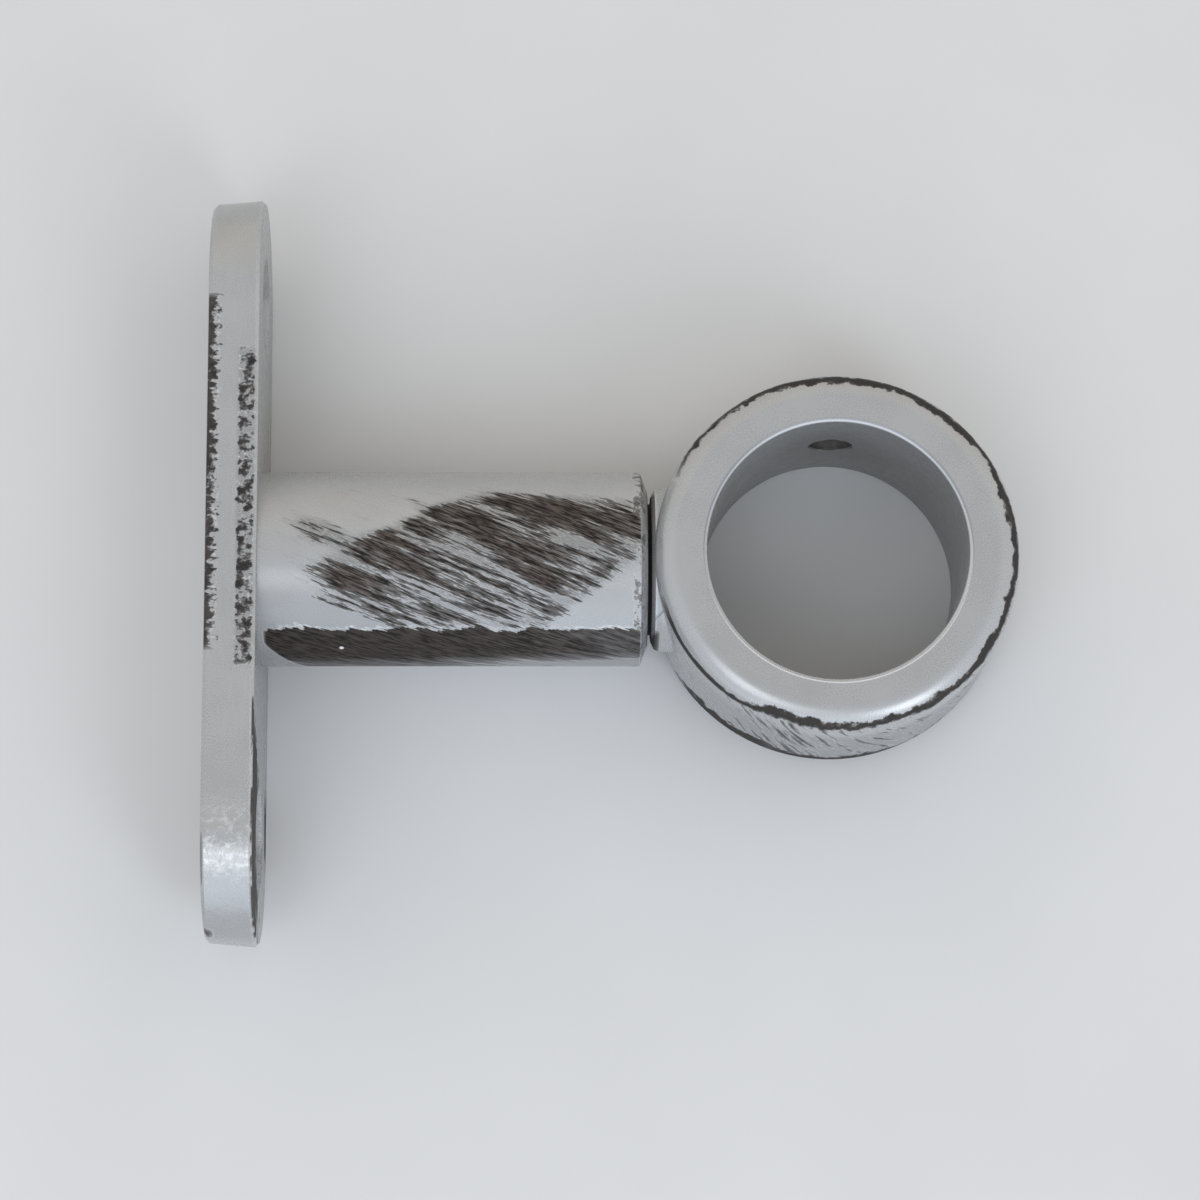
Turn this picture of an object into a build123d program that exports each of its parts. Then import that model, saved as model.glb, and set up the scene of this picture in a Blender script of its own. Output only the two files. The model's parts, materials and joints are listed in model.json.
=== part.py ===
import os
from math import radians, tan

from build123d import *

os.makedirs("parts", exist_ok=True)

# Curtain pole bracket, in millimetres. The origin is the middle of the plate's wall face,
# +X points out of the wall along the stem, +Y up the wall and +Z along the pole.

# Wall plate, an oblong with round ends whose rim leans in towards the wall
plate_length = 62.4
plate_width = 17.0
plate_thickness = 4.2
rim_lean = 5.0  # degrees
front_edge_bevel = 0.3
back_edge_bevel = 0.3

# Countersunk holes for the two wall screws
wall_hole_spacing = 44.5
wall_hole_diameter = 4.5
wall_countersink_diameter = 8.4

# Stem, a turned bar
stem_diameter = 16.0
stem_length = 31.6
stem_bevel_length = 0.6  # along the stem
stem_bevel_depth = 1.6  # across its end face

# Ring for the pole
pole_diameter = 20.0
pole_play = 0.6  # all round the pole
ring_wall = 4.2
ring_overhang = 0.25  # past the stem, on each side
ring_edge_radius = 2.0
bore_edge_bevel = 0.3

# Neck, the round seat on the ring that faces the stem
neck_diameter = 13.6
neck_projection = 0.2  # past the ring's own outline
neck_bevel_length = 0.3  # steep part of the neck's turned edge
neck_bevel_depth = 0.65
neck_taper_length = 0.55  # gentle part behind it
neck_taper_depth = 0.2
seat_diameter = 10.8  # raised middle of the neck, which bears on the stem
seat_height = 0.3  # also the width of the seam round it

# Tapped hole for the screw that clamps the pole
clamp_hole_diameter = 3.7
clamp_mouth_diameter = 4.6

# Threaded fasteners, each drawn as a plain rod
thread_play = 0.05  # round a rod in its tapped hole
tip_play = 0.4  # past the end of a rod
tip_bevel = 0.5

# Countersunk screw from the plate's back into the stem
screw_diameter = 6.0
screw_head_diameter = 11.4
screw_head_sink = 0.2  # below the wall face
screw_head_play = 0.05  # round the head in its seat
screw_reach = 9.0  # into the stem
screw_hole_play = 0.25  # round the screw in the plate
socket_width = 4.0
socket_depth = 2.0

# Stud between the stem and the ring
stud_diameter = 6.0
stud_reach = 10.0  # into the stem
stud_cover = 1.0  # metal left between the stud's hole and the pole

countersink_angle = 90.0

# Places along the stem and sizes that follow from those above
rim_inset = plate_thickness * tan(radians(rim_lean))
stem_end = plate_thickness + stem_length
bore_radius = pole_diameter / 2 + pole_play
ring_radius = bore_radius + ring_wall
ring_width = stem_diameter + 2 * ring_overhang
neck_radius = neck_diameter / 2
neck_face = stem_end + seat_height
neck_shoulder = neck_face + neck_bevel_length
shoulder_radius = neck_radius - neck_taper_depth
ring_centre = neck_face + neck_projection + ring_radius
stud_hole_depth = seat_height + neck_projection + ring_wall - stud_cover
clamp_hole_depth = ring_radius - bore_radius / 2  # opens into the bore
tapped_screw_radius = screw_diameter / 2 + thread_play
tapped_stud_radius = stud_diameter / 2 + thread_play
head_slope = tan(radians(countersink_angle / 2))
head_radius = screw_head_diameter / 2
head_seat_radius = head_radius + screw_head_play + screw_head_sink * head_slope

# Faces that the pieces are built on
wall_face = Plane((0, 0, 0), x_dir=(0, 1, 0), z_dir=(-1, 0, 0))
plate_front = Plane.YZ.offset(plate_thickness)
stem_root = Plane((plate_thickness, 0, 0), x_dir=(0, 1, 0), z_dir=(-1, 0, 0))
stem_tip = Plane.YZ.offset(stem_end)
seat_face = Plane((stem_end, 0, 0), x_dir=(0, 1, 0), z_dir=(-1, 0, 0))
ring_base = Plane((ring_centre, 0, -ring_width / 2))
ring_top = Plane((ring_centre, ring_radius, 0), x_dir=(1, 0, 0), z_dir=(0, 1, 0))


# Wall plate
with BuildPart() as wall_plate:
    with BuildSketch(Plane.YZ):
        SlotOverall(plate_length - 2 * rim_inset, plate_width - 2 * rim_inset)
    extrude(amount=plate_thickness, taper=-rim_lean)
    rims = wall_plate.edges().group_by(Axis.X)
    chamfer(rims[-1], length=front_edge_bevel)
    chamfer(rims[0], length=back_edge_bevel)
    with Locations(plate_front):
        with GridLocations(wall_hole_spacing, wall_hole_spacing, 2, 1):
            CounterSinkHole(
                radius=wall_hole_diameter / 2,
                counter_sink_radius=wall_countersink_diameter / 2,
                counter_sink_angle=countersink_angle,
            )
    with Locations(wall_face):
        CounterSinkHole(
            radius=screw_diameter / 2 + screw_hole_play,
            counter_sink_radius=head_seat_radius,
            counter_sink_angle=countersink_angle,
        )
wall_plate.part.label = "wall_plate"
export_step(wall_plate.part, "parts/wall_plate.step")


# Stem, with a tapped hole in each end
with BuildPart() as stem:
    with BuildSketch(plate_front):
        Circle(stem_diameter / 2)
    extrude(amount=stem_length)
    end_face = stem.faces().sort_by(Axis.X)[-1]
    chamfer(end_face.edges(), length=stem_bevel_depth, length2=stem_bevel_length, reference=end_face)
    with Locations(stem_root):
        Hole(radius=tapped_screw_radius, depth=screw_reach + tip_play)
    with Locations(stem_tip):
        Hole(radius=tapped_stud_radius, depth=stud_reach + tip_play)
stem.part.label = "stem"
export_step(stem.part, "parts/stem.step")


# Ring and neck, one casting
with BuildPart() as pole_ring:
    with BuildSketch(ring_base):
        Circle(ring_radius)
    extrude(amount=ring_width)
    fillet(pole_ring.edges().filter_by(GeomType.CIRCLE), radius=ring_edge_radius)
    with BuildSketch(Plane.XY):
        with BuildLine():
            Polyline(
                (stem_end, 0),
                (stem_end, seat_diameter / 2),
                (neck_face, seat_diameter / 2),
                (neck_face, shoulder_radius - neck_bevel_depth),
                (neck_shoulder, shoulder_radius),
                (neck_shoulder + neck_taper_length, neck_radius),
                (ring_centre, neck_radius),
                (ring_centre, 0),
                close=True,
            )
        make_face()
    revolve(axis=Axis.X)
    with BuildSketch(ring_base):
        Circle(bore_radius)
    extrude(amount=ring_width, mode=Mode.SUBTRACT)
    bore_rims = pole_ring.edges(Select.LAST).filter_by(GeomType.CIRCLE)
    chamfer(bore_rims, length=bore_edge_bevel)
    with Locations(seat_face):
        Hole(radius=tapped_stud_radius, depth=stud_hole_depth)
    with Locations(ring_top):
        CounterSinkHole(
            radius=clamp_hole_diameter / 2,
            counter_sink_radius=clamp_mouth_diameter / 2,
            depth=clamp_hole_depth,
            counter_sink_angle=countersink_angle,
        )
pole_ring.part.label = "pole_ring"
export_step(pole_ring.part, "parts/pole_ring.step")


# Countersunk screw with a hexagon socket, sunk in the plate's back
head_end = screw_head_sink + (head_radius - screw_diameter / 2) / head_slope
screw_tip = plate_thickness + screw_reach
with BuildPart() as plate_screw:
    with BuildSketch(Plane.XY):
        with BuildLine():
            Polyline(
                (screw_head_sink, 0),
                (screw_head_sink, head_radius),
                (head_end, screw_diameter / 2),
                (screw_tip - tip_bevel, screw_diameter / 2),
                (screw_tip, screw_diameter / 2 - tip_bevel),
                (screw_tip, 0),
                close=True,
            )
        make_face()
    revolve(axis=Axis.X)
    with BuildSketch(Plane.YZ.offset(screw_head_sink)):
        RegularPolygon(socket_width / 2, 6, major_radius=False)
    extrude(amount=socket_depth, mode=Mode.SUBTRACT)
plate_screw.part.label = "plate_screw"
export_step(plate_screw.part, "parts/plate_screw.step")


# Headless stud, bevelled at both tips
stud_start = stem_end - stud_reach
stud_tip = stem_end + stud_hole_depth - tip_play
with BuildPart() as ring_stud:
    with BuildSketch(Plane.YZ.offset(stud_start)):
        Circle(stud_diameter / 2)
    extrude(amount=stud_tip - stud_start)
    chamfer(ring_stud.edges().filter_by(GeomType.CIRCLE), length=tip_bevel)
ring_stud.part.label = "ring_stud"
export_step(ring_stud.part, "parts/ring_stud.step")
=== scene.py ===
import json
from math import cos, hypot, pi, radians, sin

import bmesh
import bpy
from mathutils import Matrix, Vector


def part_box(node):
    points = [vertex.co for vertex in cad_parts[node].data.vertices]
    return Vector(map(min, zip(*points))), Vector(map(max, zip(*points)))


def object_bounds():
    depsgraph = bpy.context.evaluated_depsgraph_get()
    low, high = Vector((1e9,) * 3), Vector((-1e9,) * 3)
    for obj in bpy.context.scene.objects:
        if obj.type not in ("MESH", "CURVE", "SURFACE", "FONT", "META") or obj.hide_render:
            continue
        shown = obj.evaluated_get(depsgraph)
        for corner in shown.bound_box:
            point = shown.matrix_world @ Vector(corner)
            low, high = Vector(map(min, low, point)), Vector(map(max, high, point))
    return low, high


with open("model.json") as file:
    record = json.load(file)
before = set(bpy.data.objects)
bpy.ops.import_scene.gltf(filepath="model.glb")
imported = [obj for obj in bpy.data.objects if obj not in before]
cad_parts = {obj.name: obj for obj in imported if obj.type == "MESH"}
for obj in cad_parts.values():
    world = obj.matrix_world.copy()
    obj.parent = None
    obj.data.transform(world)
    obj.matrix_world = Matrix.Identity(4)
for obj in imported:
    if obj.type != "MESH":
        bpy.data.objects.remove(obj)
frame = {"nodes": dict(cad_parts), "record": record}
cadLow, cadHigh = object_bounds()
mm = 0.001
mountSizes = {mount["name"]: mount["dims"] for mount in frame["record"]["mounts"]}
print("frame loaded:", ", ".join(sorted(frame["nodes"])))


class Sock:  # a node's output that can stand in a plain expression
    def __init__(self, paint, output):
        self.paint = paint
        self.output = output

    def maths(self, operation, *values):
        return self.paint.node("ShaderNodeMath", {"operation": operation}, dict(enumerate(values)))

    def __add__(self, other):
        return self.maths("ADD", self, other)

    def __radd__(self, other):
        return self.maths("ADD", other, self)

    def __sub__(self, other):
        return self.maths("SUBTRACT", self, other)

    def __rsub__(self, other):
        return self.maths("SUBTRACT", other, self)

    def __mul__(self, other):
        return self.maths("MULTIPLY", self, other)

    def __rmul__(self, other):
        return self.maths("MULTIPLY", other, self)

    def __truediv__(self, other):
        return self.maths("DIVIDE", self, other)

    def __pow__(self, other):
        return self.maths("POWER", self, other)

    def __neg__(self):
        return self.maths("MULTIPLY", self, -1)

    def __abs__(self):
        return self.maths("ABSOLUTE", self)


noiseSpan = (0.32, 0.68)  # noise keeps near its middle, so this span is stretched to 0..1


class Nodes:  # makes the nodes of one tree
    def __init__(self, tree):
        self.tree = tree
        tree.nodes.clear()

    def node(self, kind, settings=None, inputs=None, output=0):
        made = self.tree.nodes.new(kind)
        for key, value in (settings or {}).items():
            setattr(made, key, value)
        for key, value in (inputs or {}).items():
            if isinstance(value, Sock):
                self.tree.links.new(value.output, made.inputs[key])
            else:
                made.inputs[key].default_value = value
        return Sock(self, made.outputs[output]) if made.outputs else None

    def split(self, vector):
        first = self.node("ShaderNodeSeparateXYZ", None, {0: vector})
        return [Sock(self, output) for output in first.output.node.outputs]

    def join(self, x, y, z=0.0):
        return self.node("ShaderNodeCombineXYZ", None, {0: x, 1: y, 2: z})

    def ramp(self, value, low, high):  # 0 at low, 1 at high, smooth between
        limits = {"Value": value, "From Min": low, "From Max": high}
        return self.node("ShaderNodeMapRange", {"interpolation_type": "SMOOTHSTEP"}, limits)

    def between(self, value, low, high, soft):
        return self.ramp(value, low - soft, low + soft) * (1 - self.ramp(value, high - soft, high + soft))

    def pick(self, operation, values):
        best = values[0]
        for value in values[1:]:
            best = self.node("ShaderNodeMath", {"operation": operation}, {0: best, 1: value})
        return best

    def largest(self, *values):
        return self.pick("MAXIMUM", values)

    def least(self, *values):
        return self.pick("MINIMUM", values)

    def noise(self, vector, scale, detail, rough=0.5):
        inputs = {"Vector": vector, "Scale": scale, "Detail": detail, "Roughness": rough}
        plain = self.node("ShaderNodeTexNoise", None, inputs)
        low, high = noiseSpan
        return self.node("ShaderNodeMapRange", None, {"Value": plain, "From Min": low, "From Max": high})

    def blend(self, factor, first, second):
        return self.node("ShaderNodeMix", {"data_type": "RGBA"}, {0: factor, 6: first, 7: second}, 2)

    def angle(self, across, along):
        return self.node("ShaderNodeMath", {"operation": "ARCTAN2"}, {0: across, 1: along})

    def length(self, first, second):
        return (first * first + second * second) ** 0.5


class Paint(Nodes):  # a material, with millimetres in the part's own frame to place its patterns
    def __init__(self, name):
        self.material = bpy.data.materials.new(name)
        self.material.use_nodes = True
        super().__init__(self.material.node_tree)
        coords = self.node("ShaderNodeTexCoord", output="Object")
        self.place = self.node("ShaderNodeVectorMath", {"operation": "SCALE"}, {0: coords, "Scale": 1 / mm})
        self.x, self.y, self.z = self.split(self.place)

    def finish(self, inputs):
        shader = self.node("ShaderNodeBsdfPrincipled", None, inputs)
        self.node("ShaderNodeOutputMaterial", None, {"Surface": shader})
        return self.material


def shares(weights, parts):
    return sum(weight * part for weight, part in zip(weights, parts))


coat = {  # silver paint brushed over a black undercoat
    "silver": (0.475, 0.482, 0.487, 1),
    "silverDull": (0.425, 0.428, 0.430, 1),
    "bright": (0.80, 0.81, 0.82, 1),  # painted highlights: on the lip of the paint film beside a bare place, on edges and on the plate's lower end; also rubbed edges
    "thin": (0.178, 0.178, 0.176, 1),  # where hardly any silver reached, and the colour of painted shade
    "black": (0.010, 0.008, 0.007, 1),
    "brown": (0.085, 0.067, 0.057, 1),
    "broad": (0.22, 2),  # mottle of the silver: fineness and detail
    "fine": (5.0, 3),
    "grain": (14.0, 1),
    "tone": (0.5, 0.3, 0.2),  # shares of broad, fine and grain in the silver's tone
    "sheen": (0.06, 0.0, 0.05),  # in its roughness
    "relief": (0.25, 0.06, 0.03),  # and in the height of the film
    "lip": (0.06, 0.22, 0.06),  # painted highlight on the lip beside wear: where it starts and ends, and its softness
    "lipShine": 0.5,
    "wearCurve": 0.7,
    "metal": 0.45,
    "gloss": 0.22,  # roughness of the paint
    "bareGloss": 0.66,
    "shine": 0.25,
    "film": 0.04,  # mm, depth of the paint film
    "bump": 0.6,
}


def dress(paint, wear, rubbedAndHighlight, thin, bareTone, metal=coat["metal"], ridges=0.0):
    # wear is 0 on whole paint and 1 where the undercoat is bare, bareTone goes from black to brown
    mottle = [paint.noise(paint.place, *coat[name]) for name in ("broad", "fine", "grain")]
    silver = paint.blend(shares(coat["tone"], mottle), coat["silverDull"], coat["silver"])
    # darker silver where it is thin, and painted shade
    silver = paint.blend(thin, silver, coat["thin"])
    bare = paint.blend(bareTone, coat["black"], coat["brown"])
    # painted highlight along the lip of the paint film beside bare places
    lip = paint.between(wear, *coat["lip"]) * coat["lipShine"]
    # the bright colour paints highlights, and rubbed edges
    whole = paint.blend(paint.largest(lip, rubbedAndHighlight), silver, coat["bright"])
    colour = paint.blend(wear ** coat["wearCurve"], whole, bare)
    gloss = coat["gloss"] + shares(coat["sheen"], mottle) + (coat["bareGloss"] - coat["gloss"]) * wear
    height = shares(coat["relief"], mottle) + ridges - wear
    film = {"Strength": coat["bump"], "Distance": coat["film"] * mm, "Height": height}
    normal = paint.node("ShaderNodeBump", None, film)
    look = {"Base Color": colour, "Metallic": metal * (1 - wear), "Roughness": gloss, "Normal": normal}
    return paint.finish({**look, "Specular IOR Level": coat["shine"]})


stemWear = {  # mm along the stem, and mm round it from its top line, with the lower flank positive
    "metal": 0.28,  # the stem's paint is duller than the rest
    "slant": radians(24),  # of the brush strokes
    "coarse": (0.17, 1.2, 0.0, 3),  # strokes: fineness along and across, place in the noise, detail
    "bristle": (0.24, 2.8, 7.0, 3),
    "hair": (0.8, 6.5, 3.0, 2),
    "strokeRough": 0.6,
    "strokes": (0.34, 0.42, 0.24),  # shares of coarse, bristle and hair
    "cover": 0.63,  # of the whole brushed patch
    "patchUpper": (5.2, -0.5),  # edges of the patch: place round the stem and slope along it
    "patchCrown": (-5.6, 0.1),
    "crownPlace": 25.0,
    "patchLower": 7.4,
    "patchLeft": (-0.2, 0.5),
    "patchRight": (30.5, -0.85),
    "upperSoft": (-0.5, 0.9),
    "lowerSoft": (-0.8, 1.6),
    "patchStart": (5.0, 12.5),
    "startLean": 0.25,
    "spots": [  # along the stem, round it, half length, half breadth, added cover
        (15.4, 0.3, 4.2, 1.6, 0.42),
        (12.0, 2.4, 3.4, 1.2, 0.38),
        (19.8, -3.2, 5.0, 1.4, 0.32),
        (25.5, -4.0, 5.0, 1.3, 0.40),
        (31.5, -2.9, 5.0, 1.7, 0.34),
        (27.0, 1.0, 4.2, 1.7, 0.34),
        (23.5, -0.8, 4.5, 1.3, 0.16),
        (9.4, -1.5, 3.0, 1.2, 0.62),
        (9.4, 2.2, 2.6, 0.7, 0.30),
        (10.6, 4.4, 2.6, 0.6, 0.30),
    ],
    "spotSoft": (0.3, 1.3),
    "scratches": 1.6,  # strength of the strokes in the bare places
    "bareFrom": (0.34, 1.02),
    "patchOnly": (0.03, 0.2),  # no scratches where the cover is less
    "haze": 0.76,  # thin silver left between the strokes
    "hazeStrokes": 0.9,
    "hazeFrom": (0.10, 0.62),
    "bandTop": 6.8,  # bare band along the lower flank
    "bandFoot": 13.2,
    "bandFrom": 4.7,
    "bandCorner": (1.4, 1.5),  # its slanted start
    "chips": (0.35, 3.0, 4, 0.65),  # of its upper edge: fineness, place in the noise, detail, roughness
    "chipDepth": 0.7,
    "bristleDepth": 0.55,
    "topSoft": (0.0, 0.10),
    "footSoft": (-0.3, 0.3),
    "fromSoft": (-0.2, 0.2),
    "bandThins": (14.0, 37.0),  # silver comes back along the band
    "bandThinsBy": 0.56,
    "footThins": (9.2, 12.0),  # and towards its foot
    "footThinsBy": 0.70,
    "thinStrokes": 0.7,
    "thinFrom": (0.25, 1.0),
    "thinMost": 0.8,
    "bandHaze": 0.85,  # thin silver over the band
    "dot": (10.9, 9.0),  # splash of paint on the band
    "dotEdge": (0.132, 0.264),
    "lip": (-0.24, -0.06, 0.06),  # painted highlight on the lip above the band
    "lipFrom": (4.5, 6.0),
    "lipShine": 0.6,
    "bevel": 0.6,  # length of the turned edge at the stem's end
    "bevelSoft": (-0.1, 0.05),
    "bevelThin": 0.3,
    "stain": (0.8, 4, 0.7),  # specks beside the turned edge: fineness, detail, roughness
    "stainReach": (-1.2, -0.2, 0.3),
    "stainFrom": (0.42, 0.9),
    "stainMost": 0.65,
    "seam": (-0.06, -0.02),  # end face, left without silver, which also paints shade into the joint with the ring
    "dullFlank": (0.5, 5.0),  # painted shade: darker silver on the lower flank, less so towards the ring
    "dull": 0.38,
    "dullLess": 0.22,
    "dullUntil": (12.0, 24.0),
    "dullTop": (5.0, 9.0),  # and a little painted shade on the upper flank
    "dullTopMost": 0.12,
    "brownFrom": (0.75, 0.3),  # bare places go from black to brown between the finest strokes
    "brownHair": 0.65,
    "bandBlack": 0.45,
}


def alongStrokes(x, around):  # turns a place on the stem to lie along and across the strokes
    cosine, sine = cos(stemWear["slant"]), sin(stemWear["slant"])
    return x * cosine + around * sine, around * cosine - x * sine


def straight(value, start, slope):
    return start + slope * value


def stemStrokes(paint, around):
    along, across = alongStrokes(paint.x, around)
    made = []
    for name in ("coarse", "bristle", "hair"):
        fineAlong, fineAcross, seed, detail = stemWear[name]
        vector = paint.join(along * fineAlong, across * fineAcross, seed)
        made.append(paint.noise(vector, 1.0, detail, stemWear["strokeRough"]))
    return made


def brushedPatch(paint, around, strokes):  # bare scratches, and the haze between them
    wear = stemWear
    crown = straight(abs(paint.x - wear["crownPlace"]), *wear["patchCrown"])
    upper = paint.largest(straight(paint.x, *wear["patchUpper"]), crown)
    sides = [straight(paint.x, *wear[name]) for name in ("patchRight", "patchLeft")]
    lower = paint.least(wear["patchLower"], *sides)
    cover = paint.ramp(around - upper, *wear["upperSoft"]) * paint.ramp(lower - around, *wear["lowerSoft"])
    cover = cover * paint.ramp(paint.x - wear["startLean"] * around, *wear["patchStart"]) * wear["cover"]
    along, across = alongStrokes(paint.x, around)
    for spotX, spotAround, halfLength, halfBreadth, amount in wear["spots"]:
        spotAlong, spotAcross = alongStrokes(spotX, spotAround)
        off = paint.length((along - spotAlong) / halfLength, (across - spotAcross) / halfBreadth)
        cover = cover + amount * (1 - paint.ramp(off, *wear["spotSoft"]))
    scratches = paint.ramp(cover + strokes * wear["scratches"], *wear["bareFrom"])
    scratches = scratches * paint.ramp(cover, *wear["patchOnly"])
    haze = paint.ramp(cover + strokes * wear["hazeStrokes"], *wear["hazeFrom"]) * wear["haze"]
    return scratches, haze


def bareBand(paint, around, bristle):  # the band, and the distance below its ragged upper edge
    wear = stemWear
    fine, seed, detail, rough = wear["chips"]
    chips = paint.noise(paint.join(paint.x * fine, seed), 1.0, detail, rough) - 0.5
    below = around - (wear["bandTop"] + chips * wear["chipDepth"] + (bristle - 0.5) * wear["bristleDepth"])
    foot = paint.least(wear["bandFoot"], straight(paint.x, *wear["bandCorner"]))
    band = paint.ramp(below, *wear["topSoft"]) * paint.ramp(foot - around, *wear["footSoft"])
    return band * paint.ramp(paint.x - wear["bandFrom"], *wear["fromSoft"]), below


def stemPaint():
    paint = Paint("wornStemPaint")
    wear = stemWear
    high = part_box("stem")[1]
    fromTip = paint.x - high.x / mm
    around = paint.angle(-paint.y, paint.z) * (high.z / mm)
    coarse, bristle, hair = stemStrokes(paint, around)
    strokes = shares(wear["strokes"], (coarse, bristle, hair)) - 0.5
    scratches, haze = brushedPatch(paint, around, strokes)
    band, below = bareBand(paint, around, bristle)

    dotX, dotAround = wear["dot"]
    dot = 1 - paint.ramp(paint.length(paint.x - dotX, around - dotAround), *wear["dotEdge"])
    fade = paint.ramp(paint.x, *wear["bandThins"]) * wear["bandThinsBy"]
    fade = fade + paint.ramp(around, *wear["footThins"]) * wear["footThinsBy"]
    fade = paint.ramp(fade - strokes * wear["thinStrokes"], *wear["thinFrom"]) * wear["thinMost"]
    bevel = paint.ramp(fromTip + wear["bevel"], *wear["bevelSoft"])
    stain = paint.ramp(paint.noise(paint.place, *wear["stain"]), *wear["stainFrom"]) * wear["stainMost"]
    stain = stain * paint.between(fromTip, *wear["stainReach"])
    # end face without silver: also painted shade in the joint
    seam = paint.ramp(fromTip, *wear["seam"])
    worn = paint.largest(scratches, band * (1 - fade) * (1 - dot)) * (1 - bevel)
    worn = paint.largest(worn, stain, seam)

    # painted shade on the stem's flanks
    dull = wear["dull"] - wear["dullLess"] * paint.ramp(paint.x, *wear["dullUntil"])
    dull = paint.ramp(around, *wear["dullFlank"]) * dull
    dull = paint.largest(dull, paint.ramp(-around, *wear["dullTop"]) * wear["dullTopMost"])
    thin = paint.largest(haze, dull, band * wear["bandHaze"]) * (1 - bevel)
    thin = paint.largest(thin, bevel * wear["bevelThin"])
    # painted highlight on the lip above the band
    lip = paint.between(below, *wear["lip"]) * paint.ramp(paint.x, *wear["lipFrom"])
    lip = lip * coarse * wear["lipShine"]
    bareTone = hair * wear["brownHair"] + bristle * (1 - wear["brownHair"])
    bareTone = paint.ramp(bareTone, *wear["brownFrom"]) * (1 - band * wear["bandBlack"])
    return dress(paint, worn, paint.largest(dot, lip), thin, bareTone, metal=wear["metal"])


ringWear = {  # radians round the ring from the side away from the stem, mm across it
    "start": radians(34),  # tilt of the rounded edge where the bare line starts and ends
    "end": radians(68),
    "ragged": (0.9, 4, 0.65),  # unevenness of the line: fineness, detail, roughness
    "sway": (0.16, 1),
    "startRagged": radians(18),
    "startSway": radians(26),
    "endRagged": 0.3,
    "endSway": 0.25,
    "nearNeck": (-1.9, -2.45),  # the line is thin and even near the neck
    "neckEven": 0.8,
    "neckStart": 0.42,
    "neckEnd": 0.3,
    "thinner": [((-2.2, -1.2, 0.2), 0.12), ((1.9, 2.8, 0.3), 0.2)],  # stretches where it starts later
    "startSoft": (0.0, 0.14),
    "endSoft": (-0.14, 0.10),
    "edgeShare": 0.8,  # of the rounding, where the line isn't held back
    "stretch": (radians(-163), radians(152), 0.12),  # of the edge that has the line
    "lineMost": 0.95,
    "brown": (0.12, 0.6),  # tone of the bare line, and what is added where it starts
    "brownFrom": (0.05, 0.3),
    "brownRagged": (-0.3, 0.3),
    "strokeLean": (0.37, 0.93),  # brush strokes run across the wall, a little aslant
    "strokes": (0.15, 1.5, 3, 0.6),  # fineness along and across, detail, roughness
    "wallFrom": (-0.3, -0.1),  # from the ring's outline
    "wallStretch": (-2.9, 2.6, 0.2),
    "wallCover": 0.1,
    "wallMore": [((-2.05, -1.7, 0.2), 0.26), ((-1.8, -0.6, 0.4), 0.10)],  # stretches with added cover
    "wallStrokes": 0.7,
    "wallBare": (0.55, 1.05),
    "wallMost": 0.8,
    "wallHaze": ((-2.3, -0.4, 0.4), 0.55),  # stretch of thin silver, and how thin
    "hazeTop": (3.0, 6.0),
    "farBold": (-2.52, -1.9, 0.1),  # bare line on the far edge, bold near the neck; beneath the ring it is also painted contact shadow
    "farUnder": (-1.95, -1.25, 0.15),
    "farGain": (2.0, 0.9, 1.6),  # mm added by the two stretches and by the unevenness
    "farFrom": (5.5, 6.2),
    "farOut": 0.5,
    "farTop": (0.0, 0.4),  # bold again over the top
    "farStretch": (-2.6, 2.4, 0.1),
    "farRagged": 0.4,
    "farTone": (0.55, 0.4),  # strength of the line, and what is added where it is bold
    "boreSoft": (0.02, 0.06),
    "underFrom": 0.6,  # share of the bore's radius, below which its bevel turns from the light
    "bevelFrom": 0.06,  # bevel of the bore: rubbed, and given a painted highlight
    "bevelTo": (0.18, 0.21),  # on the upper side, and what is added on the lower
    "bevelSoft": 0.04,
    "bevelAt": (-0.5, -0.3),  # from the ring's face
    "bevelShine": (0.40, 0.60),
    "bevelThin": ((0.15, 0.32, 0.04), 0.45),  # painted shade on the outer part of the bevel on the upper side
    "boreThin": 0.40,  # painted shade in the bore over its thinner silver, most at its top and round the hole
    "boreTop": (-5.0, 3.0),
    "boreTopThin": 0.32,
    "smudge": (2.0, 7.0),
    "smudgeThin": 0.24,
    "holePast": (0.1, 0.2),  # bare clamping hole, past its radius
    "holeFrom": (-0.05, 0.05),
    "holeMost": 0.8,
    "seatHeight": 0.3,  # from the stem's end to the neck's face, which is left without silver and so also paints shade into the joint
    "faceSoft": (-0.02, 0.03),
    "cornerAlong": (0.4, 0.8),  # chipped corner under the neck
    "cornerDown": (-5.6, -6.1),
    "cornerMost": 0.9,
    "neckEdge": (0.3, 0.6),  # painted highlight on the turned edge of the neck
    "neckShine": 0.5,
    "flat": 0.001,  # tells the ring's flat face from its rounding
}


def ringSizes():
    low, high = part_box("pole_ring")
    radius = (high.y - low.y) / 2 / mm
    halfWidth = high.z / mm
    centre = high.x / mm - radius
    points = [vertex.co / mm for vertex in frame["nodes"]["pole_ring"].data.vertices]
    face = [hypot(p.x - centre, p.y) for p in points if p.z > halfWidth - ringWear["flat"]]
    return centre, radius, halfWidth, radius - max(face)


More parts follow.
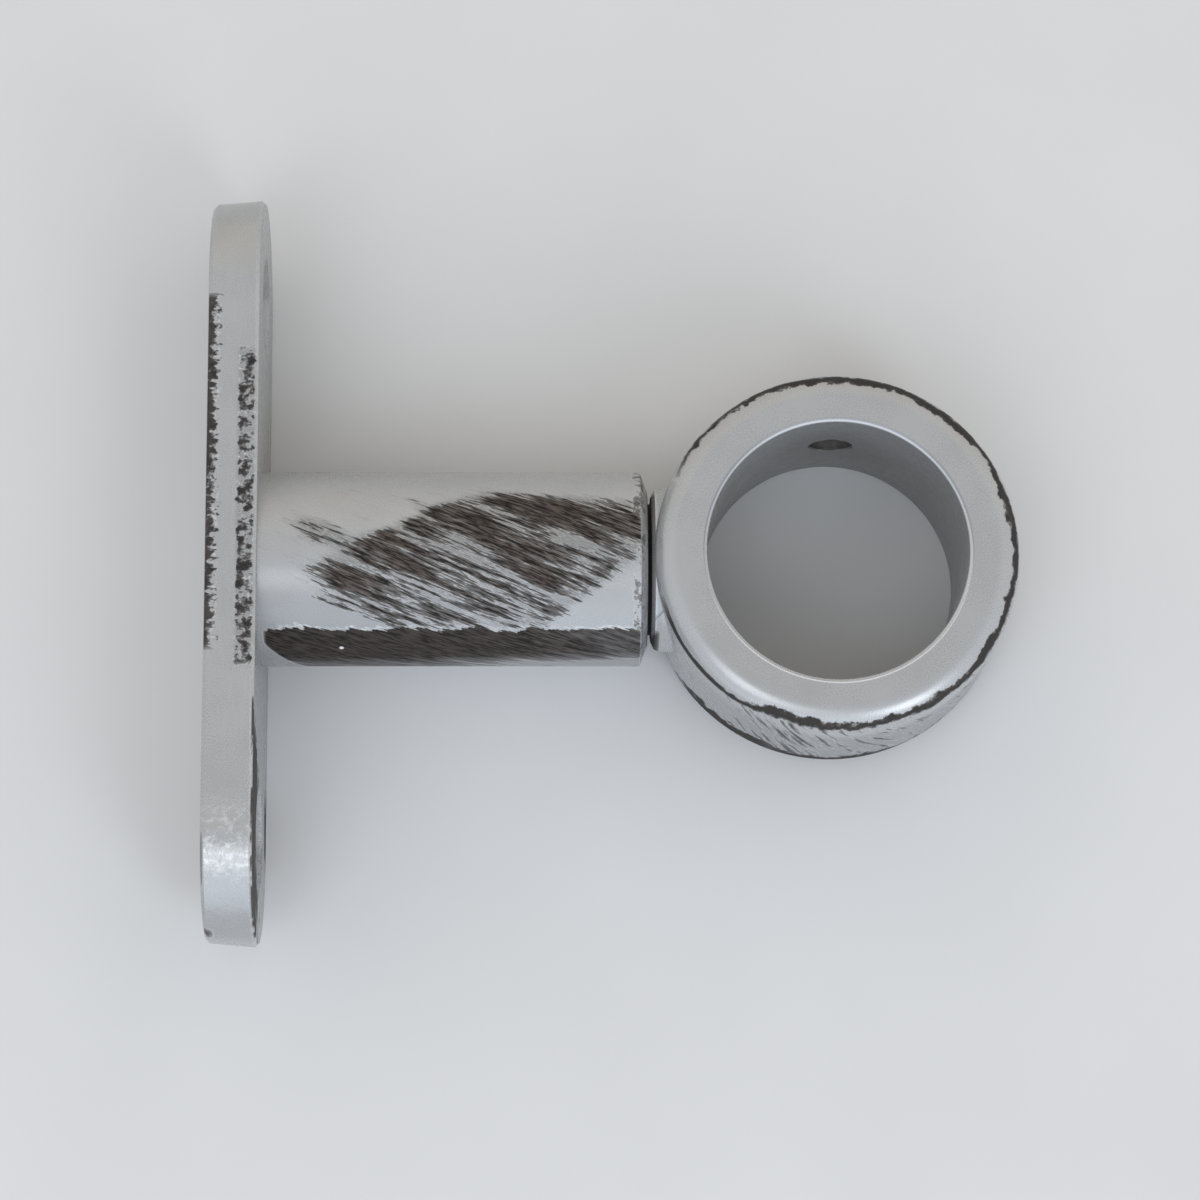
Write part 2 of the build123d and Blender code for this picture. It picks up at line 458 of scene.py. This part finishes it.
def edgeLine(paint, turn, tilt, ragged):  # bare line along the rounded edges, and its tone
    wear = ringWear
    sway = paint.noise(paint.place, *wear["sway"]) - 0.5
    nearNeck = paint.ramp(turn, *wear["nearNeck"])
    uneven = ragged * wear["startRagged"] + sway * wear["startSway"]
    start = wear["start"] + uneven * (1 - nearNeck * wear["neckEven"])
    for stretch, later in wear["thinner"]:
        start = start + paint.between(turn, *stretch) * later
    end = wear["end"] + nearNeck * wear["neckEnd"]
    end = end + (ragged * wear["endRagged"] + sway * wear["endSway"]) * (1 - nearNeck)
    line = paint.ramp(tilt - start - nearNeck * wear["neckStart"], *wear["startSoft"])
    line = line * (1 - paint.ramp(tilt - end, *wear["endSoft"]))
    line = line * paint.between(turn, *wear["stretch"]) * wear["lineMost"]
    browner = (1 - paint.ramp(tilt - start, *wear["brownFrom"])) * paint.ramp(ragged, *wear["brownRagged"])
    tone, added = wear["brown"]
    return line, tone + added * browner


def wallStreaks(paint, turn, outward, radius):  # bare streaks on the wall, and its thin silver
    wear = ringWear
    lean, upright = wear["strokeLean"]
    fineAlong, fineAcross, detail, rough = wear["strokes"]
    along = turn * radius * lean - paint.z * upright
    across = turn * radius * upright + paint.z * lean
    strokes = paint.noise(paint.join(along * fineAlong, across * fineAcross), 1.0, detail, rough)
    wall = paint.ramp(outward, *wear["wallFrom"]) * paint.between(turn, *wear["wallStretch"])
    cover = strokes * wear["wallStrokes"] + wear["wallCover"]
    for stretch, more in wear["wallMore"]:
        cover = cover + paint.between(turn, *stretch) * more
    streaks = paint.ramp(cover, *wear["wallBare"]) * wall * wear["wallMost"]
    stretch, most = wear["wallHaze"]
    haze = paint.between(turn, *stretch) * (1 - paint.ramp(paint.z, *wear["hazeTop"])) * wall * most
    return streaks, haze


def farLine(paint, turn, ragged):
    wear = ringWear
    bold = paint.between(turn, *wear["farBold"])
    # beneath the ring the line is bolder: a painted contact shadow over the bare edge
    under = paint.between(turn, *wear["farUnder"])
    line = paint.ramp(shares(wear["farGain"], (bold, under, ragged)) - paint.z, *wear["farFrom"])
    line = line * paint.between(turn + ragged * wear["farRagged"], *wear["farStretch"])
    tone, added = wear["farTone"]
    return line * (tone + added * paint.largest(bold, under, paint.ramp(turn, *wear["farTop"])))


def boreWear(paint, dx, reach, halfWidth):  # bare hole, painted highlight on the rubbed bevel, and painted shade in the bore
    wear = ringWear
    bore = mountSizes["pole_bore"]["r_mm"]
    inward = reach - bore
    under = paint.ramp(paint.y, bore * wear["underFrom"], -bore)  # lower side of the bore
    upperTo, lowerMore = wear["bevelTo"]
    upperHighlight, lowerHighlight = wear["bevelShine"]
    # painted highlight on the bevel, stronger on its lower side, which turns from the light
    bevel = paint.between(inward, wear["bevelFrom"], upperTo + lowerMore * under, wear["bevelSoft"])
    bevel = bevel * paint.ramp(abs(paint.z) - halfWidth, *wear["bevelAt"]) * (upperHighlight + lowerHighlight * under)
    span, most = wear["bevelThin"]
    bevelThin = paint.between(inward, *span) * (1 - under) * most
    fromHole = paint.length(dx, paint.z)
    hole = 1 - paint.ramp(fromHole - mountSizes["clamp_screw_hole"]["r_mm"], *wear["holePast"])
    hole = hole * paint.ramp(paint.y - bore, *wear["holeFrom"]) * wear["holeMost"]
    # painted shade round the clamping hole and at the top of the bore
    smudge = 1 - paint.ramp(fromHole, *wear["smudge"])
    topShade = (wear["boreTopThin"] + wear["smudgeThin"] * smudge) * paint.ramp(paint.y, *wear["boreTop"])
    boreThin = (1 - paint.ramp(inward, *wear["boreSoft"])) * (wear["boreThin"] + topShade)
    return hole, bevel, paint.largest(boreThin, bevelThin)


def neckWear(paint):  # bare face and corner, the face also painting shade into the joint, and a painted highlight on the turned edge
    wear = ringWear
    pastFace = paint.x - (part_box("stem")[1].x / mm + wear["seatHeight"])
    # the neck's face is left without silver, which also paints shade into the joint
    face = 1 - paint.ramp(pastFace, *wear["faceSoft"])
    corner = (1 - paint.ramp(pastFace, *wear["cornerAlong"])) * wear["cornerMost"]
    corner = corner * paint.ramp(paint.y, *wear["cornerDown"])
    # painted highlight on the neck's turned edge
    edgeHighlight = (1 - paint.ramp(pastFace, *wear["neckEdge"])) * wear["neckShine"]
    return paint.largest(face, corner), edgeHighlight


def ringPaint():
    paint = Paint("wornRingPaint")
    wear = ringWear
    centre, radius, halfWidth, rounding = ringSizes()
    dx = paint.x - centre
    reach = paint.length(dx, paint.y)
    outward = reach - radius
    turn = paint.angle(paint.y, dx)
    tilt = paint.angle(outward + rounding, abs(paint.z) - (halfWidth - rounding))
    ragged = paint.noise(paint.place, *wear["ragged"]) - 0.5
    line, bareTone = edgeLine(paint, turn, tilt, ragged)
    line = line * paint.ramp(outward, -rounding, -rounding * wear["edgeShare"])
    streaks, haze = wallStreaks(paint, turn, outward, radius)
    far = farLine(paint, turn, ragged) * paint.ramp(outward, -rounding, -wear["farOut"])
    hole, boreBevelHighlight, boreThin = boreWear(paint, dx, reach, halfWidth)
    neckBareAndShade, neckEdge = neckWear(paint)
    worn = paint.largest(line, streaks, far, hole, neckBareAndShade)
    return dress(paint, worn, paint.largest(boreBevelHighlight, neckEdge), paint.largest(boreThin, haze), bareTone)


plateWear = {  # mm off the wall (x), up it (y) and across the plate (z)
    "dashes": ((1.1, 2.2, 0.6), 3, 0.6),  # marks: fineness, detail, roughness
    "blots": (0.95, 3, 0.6),
    "crumbs": (2.6, 2, 0.6),
    "back": (-8.1, 21.2, 0.4),  # stretch of the specks beside each edge of the rim, and its softness
    "front": (-9.4, 16.6, 0.4),
    "backDepth": 1.1,  # of the specks in from the back edge
    "backMarks": (0.6, 0.2, 0.2),  # shares of dashes, blots and crumbs
    "backGain": (1.3, 2.2),  # of the row and of its marks
    "backBare": (0.15, 0.85),
    "frontDepth": (-1.65, -0.2, 0.25),  # from the plate's face
    "frontMarks": (0.3, 0.52, 0.18),
    "frontGain": (0.95, 1.9),
    "frontBare": (0.6, 1.2),
    "frontThin": 0.35,
    "lowLine": (-27.0, -23.0, 0.8),  # thin line on the back edge
    "lowLineDepth": (0.05, 0.3),
    "lowLineMost": 0.6,
    "lowSpot": (-30.8, 2.6),  # bare spot at the lower end
    "lowSpotEdge": (0.3, 1.3),
    "lowSpotDepth": (0.2, 1.0),
    "speckMost": 0.95,
    "near": (1.0, 3.0),  # half of the plate away from the paper
    "onRim": (6.0, 6.5),  # clear of the screw's seat
    "offWall": (0.02, 0.08),  # nothing shows on the face that meets the wall
    "face": (-0.06, -0.02),
    "faceThin": 0.3,
    "strokes": (0.3, 1.0, 4, 0.6),  # on the face: fineness up and across, detail, roughness
    "lower": (-12.6, -11.4),  # the bare stripe is on the lower half
    "startSide": 8.5,  # side of the plate where the stripe reaches highest
    "startSlant": 0.8,
    "startRagged": 3.0,
    "taper": (-18.0, -11.0),
    "taperBy": 9.0,
    "stripeStrokes": 7.0,
    "stripeBare": (3.5, 6.5),
    "farMiddle": -20.5,  # short stripe on the far edge
    "farHalf": 4.5,
    "farStrokes": 3.0,
    "farRound": 4.0,
    "farBare": (6.9, 7.5),
    "stripeMost": 0.92,
    "chipped": (-0.22, -0.12),  # bare part of the front bevel
    "chipStrokes": (0.3, 0.6),
    "chipMost": 0.9,
    "seatPast": (2.0, 0.05),  # wall screw's seat, past the hole's radius, and its softness
    # the seat is rubbed by the screw's head, and its lit cone is darkened with painted shade
    "seatThin": 0.30,
    "foot": (-26.5, -29.5),  # painted shade on the lower end, which faces away from the light
    "footThin": 0.22,
    "backFlecks": (0.2, 1.0, 0.2),  # painted glints among the specks
    "fleckFrom": (0.55, 0.85),
    "fleckMost": 0.6,
    "polished": (-26.6, -20.8, 1.3),  # painted highlight on the bend above the lower end
    "polishMarks": (0.6, 0.4),  # shares of dashes and crumbs
    "polishFrom": (0.4, 0.85),
    "polishMost": 0.42,
    "bevel": (-0.38, -0.28),  # painted highlight on the front bevel: where it starts
    "bevelShine": (0.1, 0.15),  # and what is added on the lower half
    "bevelMarks": (0.1, 0.7),
    "brushMarks": ((1.6, 0.4, 1.6), 3, 0.6),  # ridges in the paint: fineness, detail, roughness
    "ridges": (0.3, 0.9),
    "ridgeHeight": 0.55,
    "brown": 0.6,
}


def plateMarks(paint, fineness, detail, rough):
    fineX, fineY, fineZ = fineness
    return paint.noise(paint.join(paint.x * fineX, paint.y * fineY, paint.z * fineZ), 1.0, detail, rough)


def rimSpecks(paint, fromFace, marks):  # both rows of specks, and the places of the rows
    wear = plateWear
    backReach = paint.between(paint.y, *wear["back"])
    frontReach = paint.between(paint.y, *wear["front"])
    backDepth = 1 - paint.x / wear["backDepth"]
    frontDepth = paint.between(fromFace, *wear["frontDepth"])
    back = shares(wear["backGain"], (backDepth, shares(wear["backMarks"], marks) - 0.5))
    back = paint.ramp(back, *wear["backBare"]) * backReach
    front = shares(wear["frontGain"], (frontDepth, shares(wear["frontMarks"], marks) - 0.5))
    front = paint.ramp(front, *wear["frontBare"]) * frontReach
    backRow = paint.between(paint.x, *wear["backFlecks"]) * backReach
    return paint.largest(back, front), backRow, frontDepth * frontReach


def lowerMarks(paint):  # thin line and spot on the back edge of the lower half
    wear = plateWear
    line = (1 - paint.ramp(paint.x, *wear["lowLineDepth"])) * wear["lowLineMost"]
    line = line * paint.between(paint.y, *wear["lowLine"])
    spotY, spotZ = wear["lowSpot"]
    spot = 1 - paint.ramp(paint.length(paint.y - spotY, paint.z - spotZ), *wear["lowSpotEdge"])
    return line, spot * (1 - paint.ramp(paint.x, *wear["lowSpotDepth"]))


def faceStripes(paint, strokes, dashes):
    wear = plateWear
    near = paint.z + strokes * wear["stripeStrokes"] - paint.ramp(paint.y, *wear["taper"]) * wear["taperBy"]
    start = paint.y + (wear["startSide"] - paint.z) * wear["startSlant"]
    start = start + (dashes - 0.5) * wear["startRagged"]
    near = paint.ramp(near, *wear["stripeBare"]) * (1 - paint.ramp(start, *wear["lower"]))
    fromMiddle = (paint.y - wear["farMiddle"]) / wear["farHalf"]
    far = strokes * wear["farStrokes"] - paint.z - wear["farRound"] * fromMiddle * fromMiddle
    return paint.largest(near, paint.ramp(far, *wear["farBare"])) * wear["stripeMost"]


def screwSeats(paint):
    holes = mountSizes["wall_holes"]
    past, soft = plateWear["seatPast"]
    fromHole = paint.length(abs(paint.y) - holes["spacing_x_mm"] / 2, paint.z) - (holes["hole_r_mm"] + past)
    return 1 - paint.ramp(fromHole, -soft, soft)


def platePaint():
    paint = Paint("wornPlatePaint")
    wear = plateWear
    fromFace = paint.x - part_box("wall_plate")[1].x / mm
    dashes = plateMarks(paint, *wear["dashes"])
    blots = paint.noise(paint.place, *wear["blots"])
    crumbs = paint.noise(paint.place, *wear["crumbs"])
    fineUp, fineAcross, detail, rough = wear["strokes"]
    strokes = paint.noise(paint.join(paint.y * fineUp, paint.z * fineAcross), 1.0, detail, rough)
    near = paint.ramp(paint.z, *wear["near"])
    onRim = paint.ramp(paint.z, *wear["onRim"])
    offWall = paint.ramp(paint.x, *wear["offWall"])
    face = paint.ramp(fromFace, *wear["face"])
    offFace = 1 - face
    lower = 1 - paint.ramp(paint.y, *wear["lower"])
    seats = screwSeats(paint) * offWall

    rows, backRow, frontRow = rimSpecks(paint, fromFace, (dashes, blots, crumbs))
    lowLine, lowSpot = lowerMarks(paint)
    specks = paint.largest(paint.largest(rows, lowLine) * onRim, lowSpot * near) * offWall * wear["speckMost"]
    stripes = faceStripes(paint, strokes, dashes) * face * (1 - seats)
    chipped = paint.ramp(fromFace, *wear["chipped"]) * paint.ramp(strokes, *wear["chipStrokes"])
    chipped = chipped * lower * near * offFace * wear["chipMost"]
    worn = paint.largest(specks, stripes, chipped)

    # painted shade on the lower end
    foot = paint.ramp(paint.y, *wear["foot"]) * near * offWall * wear["footThin"]
    # painted shade in the screw seats, which are also rubbed by the screw's head
    thin = paint.largest(face * wear["faceThin"], seats * wear["seatThin"])
    thin = paint.largest(thin, frontRow * wear["frontThin"], foot)

    # painted glints among the specks
    glints = paint.largest(frontRow, backRow) * onRim
    glints = glints * paint.ramp(crumbs, *wear["fleckFrom"]) * wear["fleckMost"]
    # painted highlight on the bend above the lower end
    polished = paint.ramp(shares(wear["polishMarks"], (dashes, crumbs)), *wear["polishFrom"])
    polished = polished * paint.between(paint.y, *wear["polished"]) * onRim * offWall * offFace
    # painted highlight along the front bevel, more on the lower half
    shine, lowerHighlight = wear["bevelShine"]
    bevel = paint.ramp(fromFace, *wear["bevel"]) * offFace * (shine + lowerHighlight * lower)
    bevel = bevel * paint.ramp(crumbs, *wear["bevelMarks"])
    rubbedAndHighlight = paint.largest(glints, bevel, polished * wear["polishMost"])
    ridges = paint.ramp(plateMarks(paint, *wear["brushMarks"]), *wear["ridges"]) * wear["ridgeHeight"]
    return dress(paint, worn, rubbedAndHighlight, thin, (1 - blots) * wear["brown"], ridges=ridges)


zinc = {  # plating of the two hidden fasteners
    "dark": (0.40, 0.40, 0.39, 1),
    "light": (0.55, 0.55, 0.53, 1),
    "turned": (6.0, 8.0, 3),  # turning marks: fineness along and out from the axis, detail
    "gloss": (0.28, 0.14),  # roughness, and what the marks add
}


def zincSteel():
    paint = Paint("zincSteel")
    fineAlong, fineOut, detail = zinc["turned"]
    out = paint.length(paint.y, paint.z)
    marks = paint.noise(paint.join(paint.x * fineAlong, out * fineOut), 1.0, detail)
    colour = paint.blend(marks, zinc["dark"], zinc["light"])
    gloss, added = zinc["gloss"]
    return paint.finish({"Base Color": colour, "Metallic": 1.0, "Roughness": gloss + added * marks})


def assign(node, material):
    slots = frame["nodes"][node].data.materials
    slots.clear()
    slots.append(material)


assign("stem", stemPaint())
assign("pole_ring", ringPaint())
assign("wall_plate", platePaint())
steel = zincSteel()
for node in ("plate_screw", "ring_stud"):
    assign(node, steel)
print("paint and steel are on")

stage = {
    "floorSize": 3.0,  # m, half its side
    "floor": (0.69, 0.69, 0.69, 1),
    "floorShade": (0.67, 0.67, 0.67, 1),
    "mottle": (0.05, 3),  # fineness and detail
    "gloss": 0.9,
}


def paperFloor():
    mesh = bpy.data.meshes.new("paperFloor")
    bm = bmesh.new()
    bmesh.ops.create_grid(bm, x_segments=1, y_segments=1, size=stage["floorSize"])
    bmesh.ops.translate(bm, verts=bm.verts, vec=(0, 0, cadLow.z))
    bm.to_mesh(mesh)
    bm.free()
    floor = bpy.data.objects.new("paperFloor", mesh)
    bpy.context.scene.collection.objects.link(floor)
    paint = Paint("palePaper")
    mottle = paint.noise(paint.place, *stage["mottle"])
    colour = paint.blend(mottle, stage["floorShade"], stage["floor"])
    mesh.materials.append(paint.finish({"Base Color": colour, "Roughness": stage["gloss"]}))


paperFloor()

lamps = {  # m, and each lamp's share of a plain level of light
    "windowRight": {"place": (0.36, -0.46, 0.46), "size": (0.22, 0.42), "share": 0.092},
    "windowLeft": {"place": (-0.25, -0.33, 0.62), "size": (0.24, 0.46), "share": 0.068},
    "windowMiddle": {"place": (-0.08, -0.30, 0.70), "size": (0.26, 0.36), "share": 0.036},
}
surround = {  # room round the table: cool and brighter on the near side, warm on the far side
    "window": (0.92, 0.97, 1.0),
    "cool": (0.98, 1.06, 1.19, 1),
    "warm": (0.97, 0.91, 0.82, 1),
    "strength": 0.86,
    "front": 0.5,  # added low on the near side, which draws the shadows out
    "frontFrom": (0.5, 0.9),
    "overhead": 0.30,  # taken off straight above
    "overheadFrom": (0.78, 0.98),
}


def windows():
    for name, lamp in lamps.items():
        data = bpy.data.lights.new(name, "AREA")
        data.shape = "ELLIPSE"
        data.size, data.size_y = lamp["size"]
        data.color = surround["window"]
        place = Vector(lamp["place"])
        slope = place.normalized().z
        data.energy = lamp["share"] * pi * pi * place.length_squared / slope
        holder = bpy.data.objects.new(name, data)
        holder.location = place
        holder.rotation_euler = place.to_track_quat("Z", "Y").to_euler()
        bpy.context.scene.collection.objects.link(holder)


def room():
    world = bpy.data.worlds.new("surround")
    world.use_nodes = True
    sky = Nodes(world.node_tree)
    far, up = sky.split(sky.node("ShaderNodeTexCoord", output="Generated"))[1:]
    colour = sky.blend(sky.ramp(far, -1.0, 1.0), surround["cool"], surround["warm"])
    strength = surround["strength"] * (1 - surround["overhead"] * sky.ramp(up, *surround["overheadFrom"]))
    strength = strength * (1 + surround["front"] * sky.ramp(-far, *surround["frontFrom"]))
    glow = sky.node("ShaderNodeBackground", None, {"Color": colour, "Strength": strength})
    sky.node("ShaderNodeOutputWorld", None, {"Surface": glow})
    bpy.context.scene.world = world


windows()
room()

view = {
    "aim": Vector((31.96, -2.55, 0.0)) * mm,  # the picture's middle
    "lean": Vector((-0.0145, -0.1973, 0.9802)),  # from the aim towards the camera
    "distance": 0.345,
    "across": 0.0988,  # width of the picture at the aim
    "roll": radians(-0.15),
}


def camera():
    data = bpy.data.cameras.new("camera")
    data.lens = data.sensor_width * view["distance"] / view["across"]
    back = view["lean"].normalized()
    right = Matrix.Rotation(view["roll"], 3, back) @ Vector((0, 1, 0)).cross(back).normalized()
    turned = Matrix((right, back.cross(right), back)).transposed().to_4x4()
    holder = bpy.data.objects.new("camera", data)
    holder.matrix_world = Matrix.Translation(view["aim"] + back * view["distance"]) @ turned
    bpy.context.scene.collection.objects.link(holder)
    bpy.context.scene.camera = holder


camera()
bpy.context.scene.view_settings.view_transform = "Standard"
print("floor, light and camera are set")
